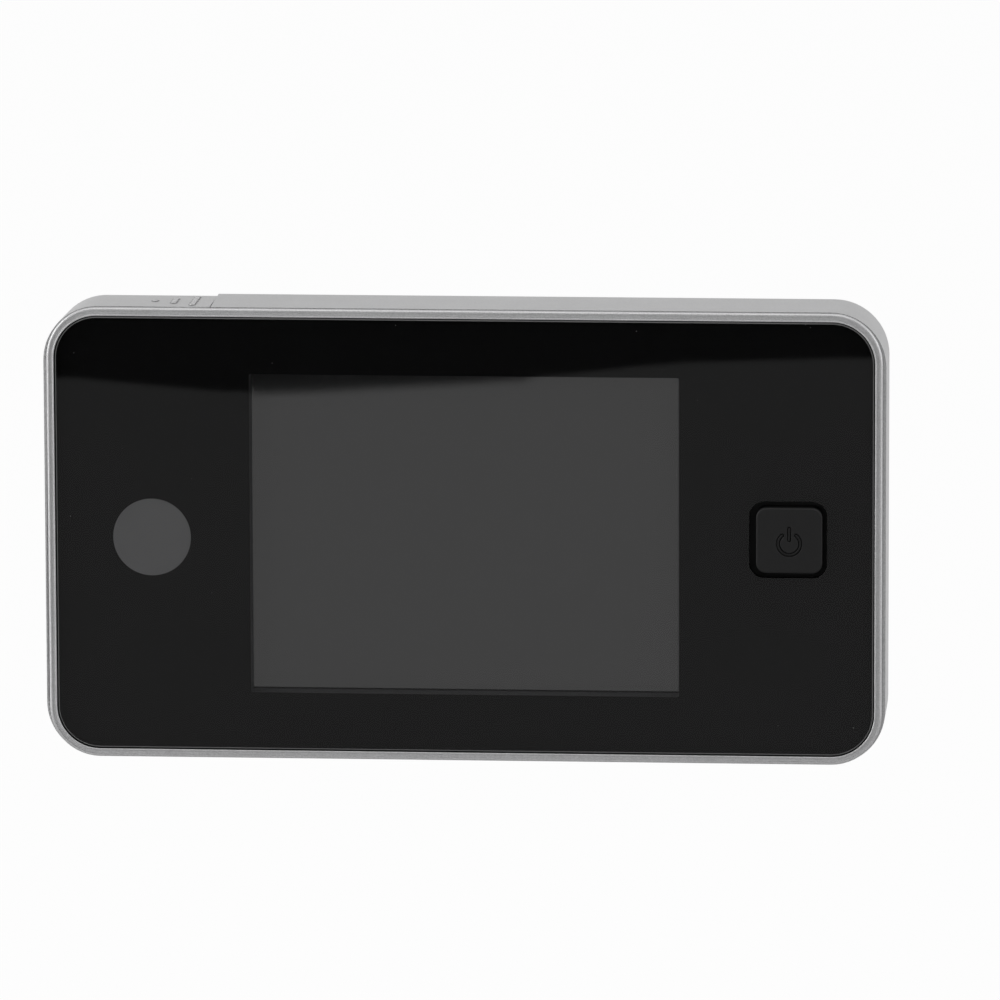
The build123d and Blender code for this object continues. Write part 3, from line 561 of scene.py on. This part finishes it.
# A smooth step down to the strokes' floor, with the trench added
def signDepth(x, z, look):
    share, trench = signForm(x, z, look)
    return look["signDepth"] * eased(share) + look["trenchDepth"] * trench


# The painted shade on the sign: darkest in the trench, and less on the strokes' floor
def signShade(x, z, look):
    share, trench = signForm(x, z, look)
    return np.maximum(trench, look["floorShade"] * share)


def makeButton(look):
    low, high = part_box("power_button")
    middle = np.array(((low.x + high.x) / 2, (low.z + high.z) / 2))
    front = low.y
    cap = middle + look["shift"]
    hub = cap - (0, look["signDrop"])
    half = look["capSize"] / 2
    count = look["roundCount"]

    # Face: rings that are circles about the sign's middle and turn into the cap's outline
    edge = look["edgeRadius"]
    rim = roundedOutline(half - edge, half - edge, look["cornerRadius"] - edge, count)
    fromHub = rim + cap - hub
    reach = np.hypot(fromHub[:, 0], fromHub[:, 1])
    way = fromHub / reach[:, None]
    inner = np.arange(look["signFrom"], look["signTo"], look["signStep"])
    share = np.concatenate((np.zeros(len(inner)), np.linspace(0, 1, look["outerRings"] + 1)[1:]))
    radius = np.concatenate((inner, np.full(look["outerRings"], inner[-1])))
    ringReach = radius[:, None] + share[:, None] * (reach - inner[-1])
    faceX = ringReach * way[:, 0]
    faceZ = ringReach * way[:, 1]
    face = np.stack((faceX + hub[0], front + signDepth(faceX, faceZ, look), faceZ + hub[1]), -1)

    # Sides: insets from the cap's outline at depths behind the face, first round the edge
    bend = np.linspace(0, math.pi / 2, look["edgeSteps"] + 1)[1:]
    flangeBack = look["flangeFront"] + look["flangeThickness"]
    sides = [(edge * (1 - math.sin(t)), edge * (1 - math.cos(t))) for t in bend]
    sides.append((0, look["flangeFront"]))
    hollow = [(look["wall"], flangeBack), (look["wall"], look["wall"])]

    def capRing(inset, depth):
        size = half - inset
        corner = max(look["cornerRadius"] - inset, look["leastRadius"])
        return atDepth(roundedOutline(size, size, corner, count) + cap, front + depth)

    def flangeRing(depth):
        halfX, halfZ = (high.x - low.x) / 2, (high.z - low.z) / 2
        return atDepth(roundedOutline(halfX, halfZ, look["flangeRadius"], count) + middle, front + depth)

    rings = [capRing(*s) for s in sides] + [flangeRing(look["flangeFront"]), flangeRing(flangeBack)]
    rings += [capRing(*s) for s in hollow]
    shell = np.concatenate((face, np.array(rings)))

    turn = np.linspace(0, 2 * math.pi, look["stemCount"], endpoint=False)
    circle = middle + look["stemRadius"] * np.stack((np.cos(turn), np.sin(turn)), -1)
    ends = (front + look["wall"], high.y)
    stem = np.array([atDepth(circle, y) for y in ends])
    piece = skinMesh("power_button_cap", [shell, stem], materials["black_button"], "button")
    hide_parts("power_button")
    x, y, z = meshPoints(piece.data).T
    # Painted shade in the sign's trench and on its floor, on the face's points alone
    signPaintedShade = signShade(x - hub[0], z - hub[1], look) * (y < front + edge)
    piece.data.attributes.new("signPaintedShade", "FLOAT", "POINT").data.foreach_set("value", signPaintedShade.astype(np.float32))


makeButton(buttonLook)
print("button made")

# Rim lip: a low half-round bead that runs along the edge of the rim's opening
lipLook = {
    "width": 0.22 * mm,
    "height": 0.07 * mm,
    "root": 0.05 * mm,  # how deep it stands in the rim
    "overhang": 0.015 * mm,  # how far it reaches over the opening
    "steps": 12,
    "roundCount": 480,
}


# The bead is the opening's outline moved out by half an ellipse's run, with the ellipse's height
def makeLip(look):
    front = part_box("front_frame")[0].y
    turn = np.linspace(0, math.pi, look["steps"])
    out = look["width"] / 2 * (1 - np.cos(turn)) - look["overhang"]
    rise = look["height"] * np.sin(turn)
    out = np.concatenate((out[:1], out, out[-1:]))
    rise = np.concatenate(([-look["root"]], rise, [-look["root"]]))
    rings = []
    for o, r in zip(out, rise):
        halfX, halfZ = silver["openingHalf"]
        line = roundedOutline(halfX + o, halfZ + o, silver["openingRadius"] + o, look["roundCount"])
        rings.append(atDepth(line, front - r))
    skinMesh("rim_lip", [np.array(rings)], materials["silver_housing"], "housing", True)


makeLip(lipLook)
print("lip made")

# Battery cover: its own solid's surface with the square pips pressed flat, and rounded ones on it,
# in rows that point left
coverLook = {
    "draft": 1.7,  # degrees that the wall leans in towards the door
    "draftFrom": 2.2 * mm,  # behind the rim
    "pipHalf": (0.42 * mm, 0.72 * mm),
    "pipCorner": 0.34 * mm,
    "pipProfile": (  # inset and rise in millimetres and share of painted shade: a shaded skirt, the side, the top
        (-0.2, -0.03, 0.3), (-0.19, 0.006, 0.4), (-0.1, 0.008, 1.0), (0.0, 0.008, 1.0), (0.0, 0.09, 0.5),
        (0.04, 0.15, 0.0), (0.1, 0.185, 0.0), (0.18, 0.202, 0.0), (0.28, 0.206, 0.0),
    ),
    "pipRows": ((-40.47, 5), (-43.42, 3), (-46.37, 1)),  # place along X in millimetres, and how many
    "pipPitch": 1.95 * mm,
    "pipMiddle": 6.9 * mm,  # behind the rim
    "leastCorner": 0.04 * mm,
    "roundCount": 28,
    "weld": 0.001 * mm,  # points this close become one, in the solid's own mesh
    "flatWeld": 0.01 * mm,  # and after the pips are pressed flat
    "leastEdge": 0.002 * mm,
    "sharpAngle": 30,  # degrees
}


# The height of the leaning wall: level near the rim, then falling with the distance from it
def coverWall(y, look):
    behind = np.asarray(y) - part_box("front_frame")[0].y - look["draftFrom"]
    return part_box("rear_shell")[1].z - math.tan(math.radians(look["draft"])) * np.maximum(behind, 0)


# The solid's surface, with every point that stands above the wall brought down to it
def makeCover(look):
    mesh = frame["nodes"]["battery_cover"].data.copy()
    work = bmesh.new()
    work.from_mesh(mesh)
    bmesh.ops.remove_doubles(work, verts=work.verts, dist=look["weld"])
    work.to_mesh(mesh)
    co = meshPoints(mesh)
    wall = coverWall(co[:, 1], look)
    co[:, 2] = np.clip(co[:, 2], -wall, wall)
    mesh.vertices.foreach_set("co", co.ravel())
    work.clear()
    work.from_mesh(mesh)
    bmesh.ops.remove_doubles(work, verts=work.verts, dist=look["flatWeld"])
    bmesh.ops.dissolve_degenerate(work, edges=work.edges, dist=look["leastEdge"])
    work.to_mesh(mesh)
    work.free()
    smoothFaces(mesh, look["sharpAngle"])
    piece = addObject("cover_wall", mesh)
    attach(piece, "cover")
    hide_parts("battery_cover")


# Each pad is one rounded outline, drawn in and lifted by the profile's steps, on the leaning wall
def makePips(look):
    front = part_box("front_frame")[0].y
    skins = []
    for x, count in look["pipRows"]:
        for k in range(count):
            y = front + look["pipMiddle"] - look["pipPitch"] * (k - (count - 1) / 2)
            rings = []
            for inset, rise, _ in look["pipProfile"]:
                halfX, halfY = (half - inset * mm for half in look["pipHalf"])
                corner = max(look["pipCorner"] - inset * mm, look["leastCorner"])
                line = roundedOutline(halfX, halfY, corner, look["roundCount"])
                depth = line[:, 1] + y
                rings.append(np.stack((line[:, 0] + x * mm, depth, coverWall(depth, look) + rise * mm), -1))
            pad = np.array(rings)
            skins += [pad, pad * (1, 1, -1)]
    piece = skinMesh("grip_pips", skins, materials["silver_housing"], "cover")
    # Painted shade for each ring of the pads, darkest on the thin skirt laid round each pip's foot
    paintedPipShade = np.repeat([shadeShare for _, _, shadeShare in look["pipProfile"]], look["roundCount"])
    paintedPipShade = np.tile(np.concatenate((paintedPipShade, (0, 0))), len(skins))  # with the two hubs of each pad
    piece.data.attributes.new("paintedPipShade", "FLOAT", "POINT").data.foreach_set("value", paintedPipShade.astype(np.float32))


makeCover(coverLook)
makePips(coverLook)
print("cover made")

# Screws: a crowned head with a cross recess, and a shank whose radius rises and falls in a helix
screwLook = {
    "headRadius": 1.8 * mm,
    "headHeight": 1.3 * mm,
    "shankRadius": 0.9 * mm,
    "recessReach": 1.15 * mm,
    "recessWidth": 0.62 * mm,
    "recessDepth": 0.7 * mm,
    "recessWall": 0.14 * mm,
    "recessSlope": 0.6,  # the power that shapes the slots' floors
    "crown": 0.12 * mm,
    "headEdge": 0.3 * mm,
    "threadPitch": 0.7 * mm,
    "threadDepth": 0.12 * mm,
    "tipShare": 0.35,  # of the shank's radius, at its tip
    "faceFrom": 0.03 * mm,
    "faceRings": 26,
    "stepsPerPitch": 8,
    "roundCount": 64,
    "faceSlack": 0.01 * mm,  # within which a point of the solid lies on a head's face
}


# A screw points along -Y from its head. The face's depth is a cross: two slots whose floors rise
# outwards, and the shank's radius is the crest less the distance to the helix
def screwRings(x, z, headBack, length, look):
    headRadius, headHeight, shankRadius = (look[key] for key in ("headRadius", "headHeight", "shankRadius"))
    count = look["roundCount"]
    turn = np.linspace(0, 2 * math.pi, count, endpoint=False)
    radius = np.linspace(look["faceFrom"], headRadius - look["headEdge"], look["faceRings"])[:, None]
    a, b = radius * np.cos(turn), radius * np.sin(turn)
    inSlot = look["recessWidth"] / 2 - np.minimum(np.abs(a), np.abs(b))
    wall = np.clip(inSlot / look["recessWall"], 0, 1)
    floor = np.clip(1 - radius / look["recessReach"], 0, 1) ** look["recessSlope"]
    sink = look["recessDepth"] * wall * floor
    crown = look["crown"] * (1 - (radius / headRadius) ** 2)
    face = np.stack((a, -sink + crown - look["crown"], b), -1)
    levels = [(headRadius, -look["headEdge"]), (headRadius, -headHeight), (shankRadius, -headHeight)]
    rows = [np.stack((r * np.cos(turn), np.full(count, y), r * np.sin(turn)), -1) for r, y in levels]
    depth = np.arange(0, length, look["threadPitch"] / look["stepsPerPitch"])[:, None]
    phase = (depth / look["threadPitch"] - turn / (2 * math.pi)) % 1
    bite = look["threadDepth"] * np.abs(2 * phase - 1)
    taper = np.clip((length - depth) / look["threadPitch"], look["tipShare"], 1)
    r = (shankRadius - bite) * taper
    shank = np.stack((r * np.cos(turn), -headHeight - depth * np.ones(count), r * np.sin(turn)), -1)
    rings = np.concatenate((face, np.array(rows), shank))
    return rings + (x, headBack, z)


# One screw in each quarter of the node's box, in the middle of the head that the solid has there
def makeScrews(name, node, slotName, look):
    low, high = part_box(node)
    co = meshPoints(frame["nodes"][node].data)
    back = co[co[:, 1] > high.y - look["faceSlack"]]
    quarter = (back[:, 0] > (low.x + high.x) / 2) + 2 * (back[:, 2] > (low.z + high.z) / 2)
    length = high.y - low.y - look["headHeight"]
    skins = []
    for own in (back[quarter == k] for k in range(4)):
        x, z = (own[:, 0].min() + own[:, 0].max()) / 2, (own[:, 2].min() + own[:, 2].max()) / 2
        skins.append(screwRings(x, z, high.y, length, look))
    piece = skinMesh(name, skins, materials[slotName], "housing")
    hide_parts(node)


makeScrews("case_screws_turned", "case_screws", "screw_steel", screwLook)
makeScrews("board_screws_turned", "board_screws", "screw_steel", screwLook)
print("screws made")

# Battery springs: a round wire carried along a coil that narrows as it climbs
springLook = {
    "wire": 0.5 * mm,
    "baseRadius": 2.6 * mm,
    "topRadius": 1.4 * mm,
    "turns": 3,
    "room": 3.5 * mm,  # between a cell and its contact
    "seat": 0.02 * mm,
    "stepsPerTurn": 40,
    "sides": 12,
}
cellLook = {
    "nubRadius": 1.9 * mm,
    "nubHeight": 0.9 * mm,
    "lip": 0.35 * mm,  # width of the rolled edges
    "lipRise": 0.02 * mm,
    "crimp": 0.18 * mm,  # how deep both ends are sunk
    "flatShares": (0.8, 0.86),  # of the inner radius: where the flat end's sunk part ends and its rim starts
    "jacketRadiusShare": 0.78,  # of the cell's radius, where the jacket ends
    "sleeve": 0.06 * mm,  # the jacket's thickness
    "hole": 0.2 * mm,  # radius of the innermost ring
    "roundCount": 72,
}


# A tube: circles square to a line, turned by the line's own way and the Z axis
def tubeRings(line, radius, sides):
    way = np.gradient(line, axis=0)
    way /= np.linalg.norm(way, axis=1)[:, None]
    out = np.cross(way, (0, 0, 1.0))
    out /= np.linalg.norm(out, axis=1)[:, None]
    up = np.cross(out, way)
    turn = np.linspace(0, 2 * math.pi, sides, endpoint=False)
    circle = np.cos(turn)[None, :, None] * out[:, None] + np.sin(turn)[None, :, None] * up[:, None]
    return line[:, None] + radius * circle


# The box of both cells, their radius, and each one's place along X with the way that its nub points
def cellPlaces():
    low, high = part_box("battery_cells")
    radius = (high.y - low.y) / 2
    return low, high, radius, ((low.x + radius, 1), (high.x - radius, -1))


# The coil's radius falls evenly along its turns, and its height rises evenly from seat to seat
def makeSprings(look):
    low, high, _, places = cellPlaces()
    skins = []
    for x, side in places:
        t = np.linspace(0, 1, look["turns"] * look["stepsPerTurn"] + 1)
        angle = 2 * math.pi * look["turns"] * t
        r = look["baseRadius"] + (look["topRadius"] - look["baseRadius"]) * t
        climb = look["seat"] + look["wire"] / 2 + (look["room"] - look["wire"] - 2 * look["seat"]) * t
        z = side * (climb - high.z)
        line = np.stack((x + r * np.cos(angle), (low.y + high.y) / 2 + r * np.sin(angle), z), -1)
        skins.append(tubeRings(line, look["wire"] / 2, look["sides"]))
    piece = skinMesh("battery_cone_springs", skins, materials["spring_steel"], "housing")
    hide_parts("battery_springs")


# Cells: a profile turned about each cell's axis. The can has a rolled lip, a flat end and a nub,
# and the jacket is a thin sleeve over it that turns in at both ends
def turned(x, y, side, profile, count):
    turn = np.linspace(0, 2 * math.pi, count, endpoint=False)
    r, z = np.array(profile).T
    return np.stack(
        (x + r[:, None] * np.cos(turn), y + r[:, None] * np.sin(turn), side * z[:, None] * np.ones(count)), -1
    )


def makeCells(look):
    low, high, radius, places = cellPlaces()
    y = (low.y + high.y) / 2
    flat = springLook["room"] - high.z  # height of the flat end, with the nub up
    shoulder = high.z - look["nubHeight"]
    lip, rise, crimp, sleeve = (look[key] for key in ("lip", "lipRise", "crimp", "sleeve"))
    nub, hole = look["nubRadius"], look["hole"]
    inner = radius * look["jacketRadiusShare"]
    sunkTo, rimFrom = (inner * share for share in look["flatShares"])
    can = [
        (hole, flat + crimp), (sunkTo, flat + crimp), (rimFrom, flat), (inner, flat),
        (radius - lip, flat + rise), (radius - sleeve, flat + lip),
        (radius - sleeve, shoulder - lip), (radius - lip, shoulder - rise),
        (inner, shoulder - crimp), (nub + lip, shoulder - crimp), (nub, shoulder),
        (nub, high.z - lip / 2), (nub - lip / 2, high.z), (hole, high.z),
    ]
    jacket = [
        (inner + lip, flat), (radius - lip, flat), (radius, flat + lip),
        (radius, shoulder - lip), (radius - lip, shoulder), (inner + lip, shoulder),
        (inner + lip, shoulder - sleeve), (radius - lip, shoulder - sleeve),
        (radius - sleeve / 2, shoulder - lip), (radius - sleeve / 2, flat + lip),
        (radius - lip, flat + sleeve), (inner + lip, flat + sleeve),
    ]
    cans = [turned(x, y, side, can, look["roundCount"]) for x, side in places]
    jackets = [turned(x, y, side, jacket, look["roundCount"]) for x, side in places]
    skinMesh("cell_cans", cans, materials["spring_steel"], "housing")
    sleeves = skinMesh("cell_jackets", jackets, materials["cell_jacket"], "housing", True)
    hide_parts("battery_cells")


makeSprings(springLook)
makeCells(cellLook)
print("cells and springs made")

# Studio: a pale floor under the unit, a white surround, and soft boxes above, in front and at both
# sides
studio = {
    "floorDrop": 0.25,  # below the unit's middle
    "floorSize": 12.0,
    "floorColour": (0.82, 0.82, 0.82),
    "floorShade": 0.98,  # of the colour, in the darker clouds
    "floorGrain": 0.4,
    "floorWhite": 0.97,  # share of the floor's look that is plain white
    "ambient": 0.36,
    "lamps": {
        "topBox": {"place": (0.05, -0.35, 0.95), "size": (1.0, 0.6), "watts": 1.8},
        "frontBox": {"place": (0.0, -1.5, 0.2), "size": (1.2, 0.8), "watts": 3.5},
        "leftBox": {"place": (-0.95, -0.45, 0.25), "size": (0.6, 0.8), "watts": 5.8},
        "rightBox": {"place": (1.0, -0.35, 0.3), "size": (0.6, 0.8), "watts": 2.8},
    },
}


def makeFloor(look):
    s, z = look["floorSize"] / 2, -look["floorDrop"]
    mesh = bpy.data.meshes.new("paleFloor")
    mesh.from_pydata([(-s, -s, z), (s, -s, z), (s, s, z), (-s, s, z)], [], [(0, 1, 2, 3)])
    material, tree, shader = startMaterial("paleFloor", {"Roughness": 0.8, "Specular IOR Level": 0.0})
    darker = shaded(look["floorColour"], look["floorShade"])
    colour = tint(tree, noise(tree, objectPoint(tree), look["floorGrain"]), darker, look["floorColour"])
    tree.links.new(colour, shader.inputs["Base Color"])
    white = addNode(tree, "Emission", {"Strength": 1.0})
    share = calc(tree, "MULTIPLY", seenDirectly(tree), look["floorWhite"])
    mixed = addNode(tree, "MixShader", {0: share, 1: shader.outputs[0], 2: white.outputs[0]})
    tree.links.new(mixed.outputs[0], tree.nodes["Material Output"].inputs["Surface"])
    mesh.materials.append(material)
    floor = addObject("paleFloor", mesh)


def makeWorld(look):
    world = bpy.data.worlds.new("studioWorld")
    world.use_nodes = True
    tree = world.node_tree
    strength = spread(tree, seenDirectly(tree), look["ambient"], 1.0, 0.0, 1.0)
    background = tree.nodes["Background"]
    background.inputs["Color"].default_value = (1, 1, 1, 1)
    tree.links.new(strength, background.inputs["Strength"])
    bpy.context.scene.world = world


def makeLamps(look):
    for name, lamp in look["lamps"].items():
        data = bpy.data.lights.new(name, "AREA")
        data.shape = "RECTANGLE"
        data.size, data.size_y = lamp["size"]
        data.energy = lamp["watts"]
        light = addObject(name, data)
        light.location = lamp["place"]
        light.rotation_euler = (-Vector(lamp["place"])).to_track_quat("-Z", "Y").to_euler()


# What the shiny front mirrors: a grey table that ends in front of the unit, and the dark of the
# room beyond it. Only gloss sees these cards
reflections = {
    "cardDistance": 0.9,
    "cardHalfWidth": 0.6,
    "cardTop": 0.75,
    "cardFoot": -0.3,  # the plain rows below the edge's own run from the bottom to here
    "cardBottom": -0.5,
    "tableLevel": -0.16,
    "tableBack": 0.1,
    "tableShade": 0.285,
    "roomShade": 0.016,
    "edge": (  # the table's far edge, as X and Z on the upright card
        (-0.3, -0.1289), (-0.1613, -0.1289), (-0.1317, -0.1314), (-0.1246, -0.1318), (-0.12, -0.1318),
        (-0.1194, -0.1329), (-0.1087, -0.1326), (-0.0637, -0.1297), (-0.0554, -0.129), (-0.052, -0.1275),
        (-0.0467, -0.127), (-0.0279, -0.1248), (-0.0161, -0.1238), (0.0214, -0.1224), (0.3, -0.1224),
    ),
    "edgeFrom": -0.18,
    "edgeTo": 0.04,
    "edgeColumns": 551,
    "edgeBlend": 0.0003,
    "blendCount": 9,
    "edgeSoft": 0.0009,
    "softReach": 2.5,  # how far the edge's fine rows reach to each side, in edgeSoft
    "softRows": 21,
    "rowsBelow": 4,  # plain rows under the fine ones, above them, and on the table
    "rowsAbove": 6,
    "tableRows": 5,
}


def cardMaterial():
    material, tree, shader = startMaterial("mirroredCard")
    tree.nodes.remove(shader)
    shade = addNode(tree, "Attribute", attribute_name="shade").outputs["Fac"]
    glow = addNode(tree, "Emission", {"Strength": shade})
    tree.links.new(glow.outputs[0], tree.nodes["Material Output"].inputs["Surface"])
    return material


# A sheet of rows of points that glows by its own shade, and shows in gloss alone
def addCard(name, points, shade, material):
    rows, columns = points.shape[:2]
    i, j = np.meshgrid(np.arange(rows - 1), np.arange(columns - 1), indexing="ij")
    here, after = i * columns + j, (i + 1) * columns + j
    quads = np.stack((here, here + 1, after + 1, after), -1)
    mesh = bpy.data.meshes.new(name)
    mesh.from_pydata(points.reshape(-1, 3).tolist(), [], quads.reshape(-1, 4).tolist())
    mesh.attributes.new("shade", "FLOAT", "POINT").data.foreach_set("value", shade.ravel().astype(np.float32))
    mesh.materials.append(material)
    card = addObject(name, mesh)
    card.visible_camera = False
    card.visible_diffuse = False
    card.visible_transmission = False
    card.visible_shadow = False


# The upright card's rows follow the table's edge, a run of straight lines averaged over a short
# width, and the shade runs from table to room in a smooth step across it
def makeCards(look):
    material = cardMaterial()
    edgeX = np.linspace(look["edgeFrom"], look["edgeTo"], look["edgeColumns"])
    x = np.concatenate(([-look["cardHalfWidth"]], edgeX, [look["cardHalfWidth"]]))
    blend = np.linspace(-look["edgeBlend"], look["edgeBlend"], look["blendCount"])[:, None]
    edge = np.interp(x + blend, *np.transpose(look["edge"])).mean(axis=0)
    soft = look["edgeSoft"]
    below = np.linspace(look["cardBottom"], look["cardFoot"], look["rowsBelow"])[:, None] * np.ones(len(x))
    near = edge + np.linspace(-look["softReach"] * soft, look["softReach"] * soft, look["softRows"])[:, None]
    above = np.linspace(0.0, look["cardTop"], look["rowsAbove"])[:, None] * np.ones(len(x))
    z = np.concatenate((below, near, above))
    step = np.clip((z - edge) / (2 * soft) + 0.5, 0, 1)
    shade = look["tableShade"] + (look["roomShade"] - look["tableShade"]) * eased(step)
    points = np.stack((x * np.ones_like(z), np.full_like(z, -look["cardDistance"]), z), -1)
    addCard("roomCard", points, shade, material)
    rows = np.linspace(-look["cardDistance"], look["tableBack"], look["tableRows"])
    y = rows[:, None] * np.ones(len(x))
    points = np.stack((x * np.ones_like(y), y, np.full_like(y, look["tableLevel"])), -1)
    addCard("tableCard", points, np.full_like(y, look["tableShade"]), material)


makeFloor(studio)
makeWorld(studio)
makeLamps(studio)
makeCards(reflections)
bpy.context.scene.view_settings.view_transform = "Standard"
print("studio lit")
